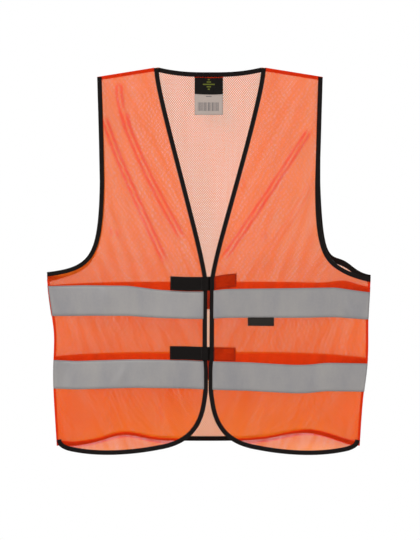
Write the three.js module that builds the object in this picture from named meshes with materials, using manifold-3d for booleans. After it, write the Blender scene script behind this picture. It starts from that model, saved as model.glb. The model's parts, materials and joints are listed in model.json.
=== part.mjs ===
// High-visibility safety vest: mesh front and back panels joined at the shoulders and sides, a bound
// edge all round, two reflective tapes front and back, and two hook-and-loop closures.
//
// Frame, in millimetres: +Z up, the front faces -Y, +X is the wearer's left. The origin is midway
// between the two neck points, where a hanger or the wearer's shoulders carry the vest.
// Every sheet is cut from one of three surfaces, y = surface(x, z), all of them even in x.

import * as THREE from 'three';
import { mergeVertices } from 'three/addons/utils/BufferGeometryUtils.js';
import Module from 'manifold-3d';

const wasm = await Module();
wasm.setup();

// ---- driving dimensions -------------------------------------------------------------------------

// Outline, seen from the front. Half widths are from the centre line.
const NECK_HALF = 90;
const NECK_DIP = 9;               // the back neckline below the neck points
const SHOULDER_HALF = 199;
const SHOULDER_DROP = 17;         // the outer end of the shoulder below the neck point
const ARMHOLE_HALF = 193.5;       // the narrowest half width, between the armholes
const CHEST_HALF = 285;           // at the underarm
const HEM_HALF = 265;
const SIDE_DROP = 665;            // the hem's side corner below the neck point
const SIDE_SEAM_LENGTH = 299;     // from that corner up to the underarm
const FRONT_EDGE_LENGTH = 293;    // from that corner's height up to the foot of the V
const CORNER_HEIGHT = 95;         // where the rounded front corner leaves the straight edge
const CORNER_REACH = 84;          // how far the rounded corner runs along the hem
const CORNER_DIP = 6;             // the hem below its side corner, where the rounding ends
const SHOULDER_END_DROP = 60;     // the armhole leaves the shoulder steeply for this far
const SHOULDER_END_TAPER = 2;     // and comes in by this much
const FRONT_HEM_DIP = 14;         // the lowest stretch of the front hem below its side corner
const BACK_HEM_RISE = 15;         // the middle of the back hem above its side corner
const FRONT_GAP = 3;              // between the two front edges, done up

// Depth.
const FRONT_BULGE = 32;           // the foot of the V in front of the neck points
const SIDE_LEAN = 17;             // the side seam's foot in front of its top
const UNDERARM_FORWARD = 5;
const BACK_BULGE = 66;            // the middle of the back behind the side seams
const BLADE_DROP = 250;           // where the back reaches that depth

// Cloth, tapes and trims.
const MESH = 0.6;                 // thickness of a panel
const SEAM_WIDTH = 8;
const BINDING_WIDTH = 8;
const BINDING_WALL = 0.6;
const BINDING_ROOM = 0.5;         // between the binding's walls and the panel
const TAPE_WIDTH = 49.5;
const TAPE = 0.6;
const UPPER_TAPE_DROP = 25.5;     // the top of the front upper tape below the underarm
const LOWER_TAPE_RISE = 99.5;     // the bottom of the front lower tape above the hem's side corner
const BACK_TAPE_LIFT = 14;        // the back tapes sit this much higher than the front ones
const HOOK_WIDTH = 24;
const HOOK_THICKNESS = 1.2;
const HOOK_SEWN = 67;             // the length sewn to the wearer's right front
const HOOK_FREE = 38;             // the length that reaches under the other front
const HOOK_ABOVE_TAPE = 0.8;
const LOOP_LENGTH = 38;
const LOOP_THICKNESS = 1;
const LABEL_WIDTH = 50;
const LABEL_OFF_CENTRE = -3;
const NECK_LABEL_HEIGHT = 29;
const CARE_LABEL_HEIGHT = 66;
const LABEL_THICKNESS = 0.6;
const TAG_WIDTH = 46;
const TAG_HEIGHT = 14;
const TAG_FROM_CENTRE = 69;
const GAP = 0.3;                  // between pieces that touch

const COLOURS = {
  mesh: [0xf07a45, 0.85],
  seam: [0xe8501e, 0.85],
  binding: [0x1c1715, 0.8],
  tape: [0xa3a09e, 0.35],
  hook: [0x15110f, 0.95],
  loop: [0x9a2c1c, 0.95],
  blackLabel: [0x16140f, 0.6],
  greyLabel: [0xc9cacb, 0.7],
  tag: [0x3a3532, 0.6],
};

// ---- worked-out heights and layers --------------------------------------------------------------

const HEM_Z = -SIDE_DROP;
const UNDERARM_Z = HEM_Z + SIDE_SEAM_LENGTH;
const V_FOOT_Z = HEM_Z + FRONT_EDGE_LENGTH;
const EDGE_X = FRONT_GAP / 2;
const SEAM_CLEAR = SEAM_WIDTH + GAP;
const BINDING_CLEAR = BINDING_WIDTH + GAP;
const UPPER_TAPE_Z = UNDERARM_Z - UPPER_TAPE_DROP;
const LOWER_TAPE_Z = HEM_Z + LOWER_TAPE_RISE + TAPE_WIDTH;
const FACE = MESH / 2;                                // from a panel's middle to its face
const SLOT = FACE + BINDING_ROOM;
const BINDING_FACE = SLOT + BINDING_WALL;
const TAPE_FACE = FACE + GAP + TAPE;
const REACH = 2 * (CHEST_HALF + SIDE_DROP);           // past every piece, for cutting prisms

// ---- surfaces -----------------------------------------------------------------------------------

const shoulderZ = (x) => (-SHOULDER_DROP * (Math.abs(x) - NECK_HALF)) / (SHOULDER_HALF - NECK_HALF);

function sideX(z) {
  const down = Math.max(0, (UNDERARM_Z - z) / SIDE_SEAM_LENGTH);
  return CHEST_HALF + (HEM_HALF - CHEST_HALF) * down;
}

const sideY = (z) => -UNDERARM_FORWARD + (SIDE_LEAN * (z - UNDERARM_Z)) / SIDE_SEAM_LENGTH;

// The front of the vest opens about a straight fold from beside the neck point to the hem's corner.
const FOLD_BESIDE_BINDING = 1.5;
const FOLD_ABOVE_BINDING = 1;
const FOLD_TOP_X = NECK_HALF + BINDING_WIDTH + FOLD_BESIDE_BINDING;
const FOLD_TOP = new THREE.Vector3(FOLD_TOP_X, 0, shoulderZ(FOLD_TOP_X) - SEAM_CLEAR);
const FOLD_FOOT_Z = HEM_Z + BINDING_CLEAR + FOLD_ABOVE_BINDING;
const FOLD_FOOT = new THREE.Vector3(sideX(FOLD_FOOT_Z) - SEAM_CLEAR, sideY(FOLD_FOOT_Z), FOLD_FOOT_Z);

function foldX(z) {
  const down = (FOLD_TOP.z - z) / (FOLD_TOP.z - FOLD_FOOT.z);
  return FOLD_TOP.x + (FOLD_FOOT.x - FOLD_TOP.x) * down;
}

function planeThrough(a, b, c) {
  const normal = new THREE.Vector3().crossVectors(b.clone().sub(a), c.clone().sub(a));
  return (x, z) => a.y - (normal.x * (Math.abs(x) - a.x) + normal.z * (z - a.z)) / normal.y;
}

const UNDERARM = new THREE.Vector3(CHEST_HALF, sideY(UNDERARM_Z), UNDERARM_Z);
const V_FOOT = new THREE.Vector3(EDGE_X, -FRONT_BULGE, V_FOOT_Z);
const frontSide = planeThrough(FOLD_TOP, FOLD_FOOT, UNDERARM);
const frontFlap = planeThrough(FOLD_TOP, FOLD_FOOT, V_FOOT);

// The back is a parabola across, zero deep at the side seams; near the shoulders it comes forward
// until it meets the front along the shoulder line.
const SHOULDER_FULLNESS = frontSide(NECK_HALF, 0) - sideY(0);
const NECK_SHARE = 1 - (NECK_HALF / CHEST_HALF) ** 2;

function back(x, z) {
  const down = Math.min(1, Math.max(0, -z / BLADE_DROP));
  const top = SHOULDER_FULLNESS / NECK_SHARE;
  const deep = top + (BACK_BULGE - top) * Math.sin((down * Math.PI) / 2);
  return sideY(z) + deep * (1 - (x / sideX(z)) ** 2);
}

// ---- solids -------------------------------------------------------------------------------------

function solidOf(geometry) {
  geometry.deleteAttribute('normal');
  geometry.deleteAttribute('uv');
  const merged = mergeVertices(geometry, 1e-4);
  return new wasm.Manifold(new wasm.Mesh({
    numProp: 3,
    vertProperties: new Float32Array(merged.attributes.position.array),
    triVerts: new Uint32Array(merged.index.array),
  }));
}

function geometryOf(solid) {
  const mesh = solid.getMesh();
  const geometry = new THREE.BufferGeometry();
  geometry.setAttribute('position', new THREE.BufferAttribute(new Float32Array(mesh.vertProperties), 3));
  geometry.setIndex(new THREE.BufferAttribute(new Uint32Array(mesh.triVerts), 1));
  geometry.computeVertexNormals();
  return geometry;
}

// An outline in (x, z) as a solid right through the vest.
function prism(outline) {
  const geometry = new THREE.ExtrudeGeometry(new THREE.Shape(outline), {
    depth: 2 * REACH, bevelEnabled: false,
  });
  geometry.rotateX(Math.PI / 2);
  geometry.translate(0, REACH, 0);
  return solidOf(geometry);
}

function steps(from, to, count) {
  return Array.from({ length: count + 1 }, (_, i) => from + ((to - from) * i) / count);
}

// The layer between two surfaces, as a grid of columns in x and rows in z.
function layer(near, far, xs, zs) {
  const positions = [];
  for (const surface of [near, far]) {
    for (const z of zs) for (const x of xs) positions.push(x, surface(x, z), z);
  }
  const wide = xs.length;
  const farStart = wide * zs.length;
  const indices = [];
  const quad = (a, b, c, d) => indices.push(a, b, c, a, c, d);
  for (let row = 0; row < zs.length - 1; row += 1) {
    for (let col = 0; col < wide - 1; col += 1) {
      const a = row * wide + col;
      quad(a, a + 1, a + 1 + wide, a + wide);
      quad(farStart + a, farStart + a + wide, farStart + a + 1 + wide, farStart + a + 1);
    }
  }
  const rim = [];
  for (let col = 0; col < wide - 1; col += 1) rim.push(col);
  for (let row = 0; row < zs.length - 1; row += 1) rim.push(row * wide + wide - 1);
  for (let col = wide - 1; col > 0; col -= 1) rim.push((zs.length - 1) * wide + col);
  for (let row = zs.length - 1; row > 0; row -= 1) rim.push(row * wide);
  rim.forEach((a, i) => {
    const b = rim[(i + 1) % rim.length];
    quad(a, farStart + a, farStart + b, b);
  });
  const geometry = new THREE.BufferGeometry();
  geometry.setAttribute('position', new THREE.Float32BufferAttribute(positions, 3));
  geometry.setIndex(indices);
  return solidOf(geometry);
}

// The grid that the curved surface of the back is cut from, a little past its outline all round.
const BACK_REACH = 1.1 * CHEST_HALF;
const BACK_XS = steps(-BACK_REACH, BACK_REACH, 20);
const BACK_ZS = [
  ...steps(HEM_Z - 2 * FRONT_HEM_DIP, -BLADE_DROP, 7),
  ...steps(-BLADE_DROP, SHOULDER_DROP, 9).slice(1),
];

const shifted = (surface, by) => (x, z) => surface(x, z) + by;

// A piece of cloth: an outline cut out of the layer from near to far behind a surface.
function cutBack(outline, near, far) {
  return layer(shifted(back, near), shifted(back, far), BACK_XS, BACK_ZS).intersect(prism(outline));
}

// On the front, where each half is flat, one side at a time: side is 1 for the wearer's left.
function cutFront(surface, side, outline, near, far) {
  const xs = side > 0 ? [0, REACH] : [-REACH, 0];
  const flat = layer(shifted(surface, near), shifted(surface, far), xs, [-REACH, REACH]);
  return flat.intersect(prism(outline.map(([x, z]) => new THREE.Vector2(side * x, z))));
}

// ---- outlines, for the wearer's left side -------------------------------------------------------

const mirrored = (outline) => outline.map(([x, z]) => [-x, z]).reverse();

function bezier(a, b, c, d, count) {
  const curve = new THREE.CubicBezierCurve(
    new THREE.Vector2(...a), new THREE.Vector2(...b), new THREE.Vector2(...c), new THREE.Vector2(...d),
  );
  return curve.getPoints(count).map((p) => [p.x, p.y]);
}

// From the side seam along the hem, round the corner and up the front edge and the V to the neck. The
// inner points of each curve only say how full it is.
function frontEdge() {
  const top = FOLD_TOP.z;
  const vDepth = top - V_FOOT_Z;
  const v = bezier(
    [NECK_HALF, top], [NECK_HALF - 5, top - 0.16 * vDepth],
    [EDGE_X + 5, V_FOOT_Z + 0.12 * vDepth], [EDGE_X, V_FOOT_Z], 10,
  );
  const corner = bezier(
    [EDGE_X, HEM_Z + CORNER_HEIGHT], [EDGE_X + 3, HEM_Z + 0.42 * CORNER_HEIGHT],
    [EDGE_X + 0.28 * CORNER_REACH, HEM_Z + 4], [EDGE_X + CORNER_REACH, HEM_Z - CORNER_DIP], 8,
  );
  const end = HEM_HALF - SEAM_CLEAR;
  const middle = (EDGE_X + CORNER_REACH + end) / 2;
  const lowest = HEM_Z - FRONT_HEM_DIP - 4;
  const hem = bezier(
    corner.at(-1), [middle - 30, lowest], [middle + 30, lowest], [end, HEM_Z - 1], 6,
  );
  return [...v, ...corner, ...hem.slice(1)].reverse();
}

function armhole() {
  return [
    [SHOULDER_HALF, -SHOULDER_DROP],
    [SHOULDER_HALF - SHOULDER_END_TAPER, -SHOULDER_DROP - SHOULDER_END_DROP],
    ...bezier(
      [ARMHOLE_HALF, 0.55 * UNDERARM_Z], [ARMHOLE_HALF, UNDERARM_Z + 22],
      [ARMHOLE_HALF + 20, UNDERARM_Z + 8], [CHEST_HALF, UNDERARM_Z], 10,
    ),
  ];
}

function backNeck() {
  const end = NECK_HALF - GAP;
  const half = bezier([-end, 0], [-0.6 * end, -NECK_DIP], [-0.3 * end, -NECK_DIP], [0, -NECK_DIP], 6);
  return [...half, ...mirrored(half.slice(0, -1))];
}

function backHem() {
  const end = HEM_HALF - SEAM_CLEAR;
  return steps(end, -end, 12).map((x) => [x, HEM_Z + BACK_HEM_RISE * (1 - (x / end) ** 2)]);
}

// The path moved by distance to its right-hand side. The ends move along the directions given.
function inset(path, distance, startDirection, endDirection) {
  return path.map(([x, z], i) => {
    if (i === 0) return [x + distance * startDirection[0], z + distance * startDirection[1]];
    if (i === path.length - 1) return [x + distance * endDirection[0], z + distance * endDirection[1]];
    const before = new THREE.Vector2(x - path[i - 1][0], z - path[i - 1][1]).normalize();
    const after = new THREE.Vector2(path[i + 1][0] - x, path[i + 1][1] - z).normalize();
    const mitre = before.clone().add(after).normalize();
    const stretch = distance / mitre.dot(after);
    return [x + mitre.y * stretch, z - mitre.x * stretch];
  });
}

const LEFTWARD = [-1, 0];
const RIGHTWARD = [1, 0];
const UP = [0, 1];
const DOWN = [0, -1];

// A strip of the given width along a path, as an outline; from and to are distances in from the path.
function strip(path, from, to, startDirection, endDirection) {
  return [
    ...inset(path, from, startDirection, endDirection),
    ...inset(path, to, startDirection, endDirection).reverse(),
  ];
}

function lengthened(path, by) {
  const stretch = ([x0, z0], [x1, z1]) => {
    const along = new THREE.Vector2(x0 - x1, z0 - z1).normalize().multiplyScalar(by);
    return [x0 + along.x, z0 + along.y];
  };
  return [stretch(path[0], path[1]), ...path, stretch(path.at(-1), path.at(-2))];
}

// The slot for the panel is cut this far past the binding's inner edge and its two ends.
const CUT_THROUGH = 2;

// A tape folded over the edge of a panel: cut gives the solid between two depths for an outline.
function binding(path, startDirection, endDirection, cut) {
  const whole = cut(strip(path, 0, BINDING_WIDTH, startDirection, endDirection), -BINDING_FACE, BINDING_FACE);
  const longer = lengthened(path, CUT_THROUGH);
  const opening = strip(longer, BINDING_WALL, BINDING_WIDTH + CUT_THROUGH, startDirection, endDirection);
  return whole.subtract(cut(opening, -SLOT, SLOT));
}

const EDGE_IN_SLOT = BINDING_WALL + GAP;

// ---- the fronts ---------------------------------------------------------------------------------

function flapOutline() {
  const edge = inset(frontEdge(), EDGE_IN_SLOT, UP, RIGHTWARD);
  return [...edge, [FOLD_TOP.x - GAP, FOLD_TOP.z], [FOLD_FOOT.x - GAP, FOLD_FOOT.z]];
}

function upTo(path, limit) {
  const stop = path.findIndex(([x], i) => i > 2 && x > limit);
  const [x0, z0] = path[stop - 1];
  const [x1, z1] = path[stop];
  return [...path.slice(0, stop), [limit, z0 + ((z1 - z0) * (limit - x0)) / (x1 - x0)]];
}

// The armhole edge of a panel, from the shoulder seam to the side seam.
function panelArmhole() {
  const [, ...edge] = inset(armhole(), EDGE_IN_SLOT, LEFTWARD, DOWN);
  const x = SHOULDER_HALF - EDGE_IN_SLOT;
  return upTo([[x, shoulderZ(x) - SEAM_CLEAR], ...edge], CHEST_HALF - SEAM_CLEAR);
}

const SIDE_FOOT_HEIGHT = 1.8;         // the blunt foot of the panel beside the fold

function frontSideOutline() {
  const footTop = FOLD_FOOT.z + SIDE_FOOT_HEIGHT;
  return [
    [FOLD_TOP.x + GAP, FOLD_TOP.z],
    ...panelArmhole(),
    [FOLD_FOOT.x, FOLD_FOOT.z + GAP],
    [foldX(footTop) + GAP, footTop],
  ];
}

function tapeOutline(top, innerX, outerX) {
  const foot = top - TAPE_WIDTH;
  return [[innerX(top), top], [outerX(top), top], [outerX(foot), foot], [innerX(foot), foot]];
}

// How far the bound edge has moved in from the centre line at a height.
function edgeX(z) {
  const path = frontEdge();
  const above = path.findIndex(([, pz], i) => i > 0 && pz >= z);
  const [x0, z0] = path[above - 1];
  const [x1, z1] = path[above];
  return x0 + ((x1 - x0) * (z - z0)) / (z1 - z0);
}

const onFlap = (side) => (outline, near, far) => cutFront(frontFlap, side, outline, near, far);
const onSide = (side) => (outline, near, far) => cutFront(frontSide, side, outline, near, far);
const besideBinding = (z) => edgeX(z) + BINDING_CLEAR + GAP;

function frontPieces(name, side) {
  const pieces = {
    [`${name}_front_panel`]: [onFlap(side)(flapOutline(), -FACE, FACE), 'mesh'],
    [`${name}_front_binding`]: [binding(frontEdge(), UP, RIGHTWARD, onFlap(side)), 'binding'],
    [`${name}_side_panel`]: [onSide(side)(frontSideOutline(), -FACE, FACE), 'mesh'],
  };
  for (const [level, top] of [['upper', UPPER_TAPE_Z], ['lower', LOWER_TAPE_Z]]) {
    const onPanel = tapeOutline(top, besideBinding, (z) => foldX(z) - GAP);
    const toEdge = tapeOutline(top, (z) => foldX(z) + GAP, sideX);
    pieces[`${name}_${level}_tape`] = [onFlap(side)(onPanel, -TAPE_FACE, -FACE - GAP), 'tape'];
    pieces[`${name}_${level}_tape_side`] = [onSide(side)(toEdge, -TAPE_FACE, -FACE - GAP), 'tape'];
  }
  return pieces;
}

// The hook tab lies on the right front, drops back through the gap between the two bound edges and
// runs on behind the left front. Its profile is (x, distance behind the flap's middle).
function hookTab(tapeTop) {
  const outside = -BINDING_FACE - GAP;
  const inside = BINDING_FACE + LOOP_THICKNESS + GAP;
  const half = HOOK_THICKNESS / 2;
  const profile = [
    [-HOOK_SEWN, outside - HOOK_THICKNESS], [half, outside - HOOK_THICKNESS], [half, inside],
    [HOOK_FREE, inside], [HOOK_FREE, inside + HOOK_THICKNESS], [-half, inside + HOOK_THICKNESS],
    [-half, outside], [-HOOK_SEWN, outside],
  ];
  const shape = new THREE.Shape(profile.map(([x, y]) => new THREE.Vector2(x, y)));
  const geometry = new THREE.ExtrudeGeometry(shape, { depth: HOOK_WIDTH, bevelEnabled: false });
  geometry.translate(0, 0, tapeTop + HOOK_ABOVE_TAPE);
  const at = geometry.attributes.position;
  for (let i = 0; i < at.count; i += 1) at.setY(i, at.getY(i) + frontFlap(at.getX(i), at.getZ(i)));
  return solidOf(geometry);
}

function rectangle(x0, x1, foot, top) {
  return [[x0, foot], [x1, foot], [x1, top], [x0, top]];
}

function loopPatch(tapeTop) {
  const foot = tapeTop + HOOK_ABOVE_TAPE;
  const start = besideBinding(foot + HOOK_WIDTH);
  const outline = rectangle(start, start + LOOP_LENGTH, foot, foot + HOOK_WIDTH);
  return onFlap(1)(outline, FACE + GAP, FACE + GAP + LOOP_THICKNESS);
}

function closurePieces() {
  return {
    upper_hook_tab: [hookTab(UPPER_TAPE_Z), 'hook'],
    lower_hook_tab: [hookTab(LOWER_TAPE_Z), 'hook'],
    upper_loop_patch: [loopPatch(UPPER_TAPE_Z), 'loop'],
    lower_loop_patch: [loopPatch(LOWER_TAPE_Z), 'loop'],
  };
}

// ---- the back -----------------------------------------------------------------------------------

const toVectors = (outline) => outline.map(([x, z]) => new THREE.Vector2(x, z));
const onBack = (outline, near, far) => cutBack(toVectors(outline), near, far);

function backOutline() {
  const clear = NECK_HALF - SEAM_CLEAR;
  const neck = inset(backNeck(), EDGE_IN_SLOT, DOWN, DOWN).filter(([x]) => Math.abs(x) < clear);
  const corner = [NECK_HALF - GAP, -SEAM_CLEAR];
  const left = [corner, ...panelArmhole(), [HEM_HALF - SEAM_CLEAR, HEM_Z + EDGE_IN_SLOT]];
  const hem = inset(backHem(), EDGE_IN_SLOT, UP, UP).slice(1, -1);
  return [...neck, ...left, ...hem, ...mirrored(left)];
}

function backTape(top) {
  const outline = tapeOutline(top + BACK_TAPE_LIFT, (z) => -sideX(z), sideX);
  return onBack(outline, FACE + GAP, TAPE_FACE);
}

function backPieces() {
  return {
    back_panel: [onBack(backOutline(), -FACE, FACE), 'mesh'],
    back_neck_binding: [binding(backNeck(), DOWN, DOWN, onBack), 'binding'],
    back_hem_binding: [binding(backHem(), UP, UP, onBack), 'binding'],
    back_upper_tape: [backTape(UPPER_TAPE_Z), 'tape'],
    back_lower_tape: [backTape(LOWER_TAPE_Z), 'tape'],
  };
}

// ---- seams and armholes, which join front to back -----------------------------------------------

// The layers sewn together along a seam fill the wedge between the front and the back.
function wedge(side, outline) {
  const between = layer(shifted(frontSide, -FACE), shifted(back, FACE), BACK_XS, BACK_ZS);
  return between.intersect(prism(outline.map(([x, z]) => new THREE.Vector2(side * x, z))));
}

function shoulderSeam(side) {
  const end = SHOULDER_HALF - BINDING_CLEAR;
  const top = [[NECK_HALF, 0], [end, shoulderZ(end)]];
  return wedge(side, strip(top, 0, SEAM_WIDTH, DOWN, DOWN));
}

function sideSeam(side) {
  const top = UNDERARM_Z - BINDING_CLEAR;
  const line = [[sideX(top), top], [HEM_HALF, HEM_Z]];
  return wedge(side, strip(line, 0, SEAM_WIDTH, LEFTWARD, LEFTWARD));
}

// One tape round the whole armhole: down the front edge and up the back edge.
function armholeBinding(side) {
  const onBackSide = (outline, near, far) => onBack(outline.map(([x, z]) => [side * x, z]), near, far);
  const front = binding(armhole(), LEFTWARD, DOWN, onSide(side));
  return front.add(binding(armhole(), LEFTWARD, DOWN, onBackSide));
}

function joiningPieces(name, side) {
  return {
    [`${name}_shoulder_seam`]: [shoulderSeam(side), 'seam'],
    [`${name}_side_seam`]: [sideSeam(side), 'seam'],
    [`${name}_armhole_binding`]: [armholeBinding(side), 'binding'],
  };
}

// ---- labels -------------------------------------------------------------------------------------

// Both labels hang straight down from the back neck binding, the short one in front.
function labelPieces() {
  const top = -NECK_DIP - BINDING_CLEAR - GAP;
  const y = back(0, top) - BINDING_FACE - LABEL_THICKNESS;
  const label = (height, forward) => {
    const plate = new THREE.BoxGeometry(LABEL_WIDTH, LABEL_THICKNESS, height);
    plate.translate(LABEL_OFF_CENTRE, y - forward, top - height / 2);
    return solidOf(plate);
  };
  return {
    neck_label: [label(NECK_LABEL_HEIGHT, LABEL_THICKNESS + GAP), 'blackLabel'],
    care_label: [label(CARE_LABEL_HEIGHT, 0), 'greyLabel'],
  };
}

// A small tag sewn under the lower edge of the wearer's left upper tape.
function sideTag() {
  const top = UPPER_TAPE_Z - TAPE_WIDTH - GAP;
  const outline = rectangle(TAG_FROM_CENTRE, TAG_FROM_CENTRE + TAG_WIDTH, top - TAG_HEIGHT, top);
  return onFlap(1)(outline, -FACE - GAP - LABEL_THICKNESS, -FACE - GAP);
}

// ---- assembly -----------------------------------------------------------------------------------

function body(pieces) {
  const group = new THREE.Group();
  for (const [name, [solid, colour]] of Object.entries(pieces)) {
    const [color, roughness] = COLOURS[colour];
    const material = new THREE.MeshStandardMaterial({ color, roughness, metalness: 0 });
    const mesh = new THREE.Mesh(geometryOf(solid), material);
    mesh.name = name;
    group.add(mesh);
  }
  return group;
}

const vest = new THREE.Group();
vest.add(
  body(backPieces()),
  body(joiningPieces('right', -1)),
  body(joiningPieces('left', 1)),
  body(frontPieces('right', -1)),
  body(frontPieces('left', 1)),
  body(closurePieces()),
  body({ ...labelPieces(), side_tag: [sideTag(), 'tag'] }),
);

export default vest;
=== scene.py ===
"""High-visibility vest: mesh panels, tapes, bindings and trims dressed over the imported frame.

Metres, +Z up; the front faces -Y and +X is the wearer's left. Every piece is cut flat, as points
(x, z), and a placing function lays those points on the front or the back with its folds and creases.
Creases and sways are listed in millimetres.
"""

import json
import math

import bmesh
import bpy
import numpy as np
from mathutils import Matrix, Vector, noise
from mathutils.geometry import delaunay_2d_cdt


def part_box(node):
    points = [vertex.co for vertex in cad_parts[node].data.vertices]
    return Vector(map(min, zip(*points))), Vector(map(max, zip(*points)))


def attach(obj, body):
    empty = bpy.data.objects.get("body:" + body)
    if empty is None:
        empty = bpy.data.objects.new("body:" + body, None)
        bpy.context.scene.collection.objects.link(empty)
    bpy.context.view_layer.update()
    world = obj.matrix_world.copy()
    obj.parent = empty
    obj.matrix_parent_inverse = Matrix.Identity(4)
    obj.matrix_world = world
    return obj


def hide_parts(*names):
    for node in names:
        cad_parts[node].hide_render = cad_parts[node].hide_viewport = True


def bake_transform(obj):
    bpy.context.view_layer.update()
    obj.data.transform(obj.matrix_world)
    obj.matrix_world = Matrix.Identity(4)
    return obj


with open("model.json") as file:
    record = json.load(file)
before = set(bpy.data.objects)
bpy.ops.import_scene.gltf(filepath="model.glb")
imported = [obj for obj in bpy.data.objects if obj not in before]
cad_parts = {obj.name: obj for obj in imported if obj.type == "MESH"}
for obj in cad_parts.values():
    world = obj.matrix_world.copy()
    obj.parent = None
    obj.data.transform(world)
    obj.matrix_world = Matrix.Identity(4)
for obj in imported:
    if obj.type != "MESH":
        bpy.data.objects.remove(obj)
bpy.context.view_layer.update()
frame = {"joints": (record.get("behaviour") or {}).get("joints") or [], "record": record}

# ---- sizes, from the frame ----

GAP = 0.0003  # between neighbouring solids of the frame
BINDING = 0.008  # width of the black binding
SEAM = 0.008  # width of the frame's seams, from the sewn edge inwards
JOINTS = {joint["name"]: joint for joint in frame["joints"]}
MOUNTS = {mount["name"]: mount for mount in frame["record"]["mounts"]}

armhole_low, armhole_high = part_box("left_armhole_binding")
neck_low, neck_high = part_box("back_neck_binding")
edge_low, edge_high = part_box("left_front_binding")
hem_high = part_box("back_hem_binding")[1]
CHEST_HALF = armhole_high.x
ARMHOLE_HALF = armhole_low.x + BINDING
UNDERARM_Z = armhole_low.z + BINDING
SHOULDER_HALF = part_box("left_shoulder_seam")[1].x + SEAM + GAP
SHOULDER_Z = armhole_high.z
NECK_HALF = neck_high.x
NECK_DIP_Z = neck_low.z + BINDING
HEM_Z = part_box("left_side_seam")[0].z
HEM_HALF = hem_high.x + SEAM + GAP
HEM_MIDDLE_Z = hem_high.z - BINDING
EDGE_X = edge_low.x
V_TOP_Z = edge_high.z

# The cut of the front edge, the depth of the side seams and of the back.
V_FOOT_Z = HEM_Z + 0.293
CORNER_HEIGHT = 0.095
CORNER_REACH = 0.084
UNDERARM_Y = -0.005
SHOULDER_FROM_Z = 0.75 * UNDERARM_Z  # above this height the two layers draw together at a seam
SIDE_LEAN = 0.017
BLADE_Z = -0.250
BACK_BULGE = 0.066
SHOULDER_FULLNESS = -0.01775

# Distances of the layers from a panel's middle, outwards.
TAPE_OUT = 0.0011
TAPE_HALF = 0.0002
BINDING_HALF = 0.0013
SEAM_HALF = 0.0008
SEAM_SPREAD = 0.0011  # the two panels stand this far to each side of a seam's turned-in cloth
SIDE_SEAM_WIDTH = 0.0045  # of turned-in cloth
SHOULDER_SEAM_WIDTH = 0.0065
SPREAD_REACH = 0.015  # the panels part within this distance of a seam
SHOULDER_REACH = 0.035  # and draw together within this distance of the shoulder


# ---- shapes of curves ----


def smooth(t):
    t = np.clip(t, 0, 1)
    return t * t * (3 - 2 * t)


def hump(t):
    return np.exp(-(t**2))


def bezier(a, b, c, d, count=40):
    t = np.linspace(0, 1, count)[:, None]
    a, b, c, d = (np.array(p, float) for p in (a, b, c, d))
    return (1 - t) ** 3 * a + 3 * (1 - t) ** 2 * t * b + 3 * (1 - t) * t**2 * c + t**3 * d


def joined(*paths):
    """One path through several, without the points that two of them share."""
    whole = np.vstack([np.array(path, float) for path in paths])
    apart = np.linalg.norm(np.diff(whole, axis=0), axis=1) > 1e-5
    return whole[np.concatenate([[True], apart])]


def mirrored(path):
    """The other side's path, in the opposite direction."""
    return np.array(path)[::-1] * (-1, 1)


def resampled(path, spacing):
    steps = np.linalg.norm(np.diff(path, axis=0), axis=1)
    along = np.concatenate([[0], np.cumsum(steps)])
    at = np.linspace(0, along[-1], max(2, round(along[-1] / spacing) + 1))
    return np.stack([np.interp(at, along, path[:, k]) for k in range(path.shape[1])], axis=1)


def inward(path):
    """Unit normals to the left of a path's direction."""
    along = np.gradient(path, axis=0)
    along /= np.linalg.norm(along, axis=1, keepdims=True)
    return np.stack([-along[:, 1], along[:, 0]], axis=1)


def inset(path, distance):
    return path + distance * inward(path)


# ---- the front and the back as surfaces ----

FOLD = JOINTS["left_front_open"]
FOLD_CLEARANCE = 0.0015  # the joint's axis runs this far in front of the cloth


def fold_at(z):
    """The fold's distance from the centre line, and its depth, at a height."""
    x, y, top = FOLD["pos_m"]
    down = (z - top) / FOLD["axis"][2]
    return x + FOLD["axis"][0] * down, y + FOLD_CLEARANCE + FOLD["axis"][1] * down


def slope_through(x, y, z):
    """How fast a flat panel that starts at the fold goes back, if it passes through a point."""
    fold_x, fold_y = fold_at(z)
    return (y - fold_y) / (x - fold_x)


tape_x, tape_y, tape_z = MOUNTS["left_tape_face"]["pos_m"]
FLAP_SLOPE = slope_through(tape_x, tape_y + TAPE_OUT, tape_z)
SIDE_SLOPE = slope_through(CHEST_HALF, UNDERARM_Y, UNDERARM_Z)
FOLD_SOFTNESS = 0.02


def side_x(z):
    down = np.maximum(0, (UNDERARM_Z - z) / (UNDERARM_Z - HEM_Z))
    return CHEST_HALF + (HEM_HALF - CHEST_HALF) * down


def side_y(z):
    return UNDERARM_Y + SIDE_LEAN * (z - UNDERARM_Z) / (UNDERARM_Z - HEM_Z)


def shoulder_z(x):
    return SHOULDER_Z * np.maximum(0, (np.abs(x) - NECK_HALF) / (SHOULDER_HALF - NECK_HALF))


def front_y(x, z):
    fold_x, fold_y = fold_at(z)
    past = np.abs(x) - fold_x
    before = (past - np.sqrt(past**2 + FOLD_SOFTNESS**2)) / 2
    return fold_y + SIDE_SLOPE * past + (FLAP_SLOPE - SIDE_SLOPE) * before


def back_y(x, z):
    down = np.sin(np.clip(z / BLADE_Z, 0, 1) * math.pi / 2)
    deep = SHOULDER_FULLNESS + (BACK_BULGE - SHOULDER_FULLNESS) * down
    return side_y(z) + deep * (1 - (x / side_x(z)) ** 2)


def near_seam(x, z, reach):
    """1 on the shoulder and side seams, and 0 from reach inside them."""
    shoulder = 1 - smooth((shoulder_z(x) - z) / reach)
    side = (1 - smooth((side_x(z) - np.abs(x)) / reach)) * (z < UNDERARM_Z + reach)
    return np.maximum(shoulder, side)


# ---- folds and creases ----

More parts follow.
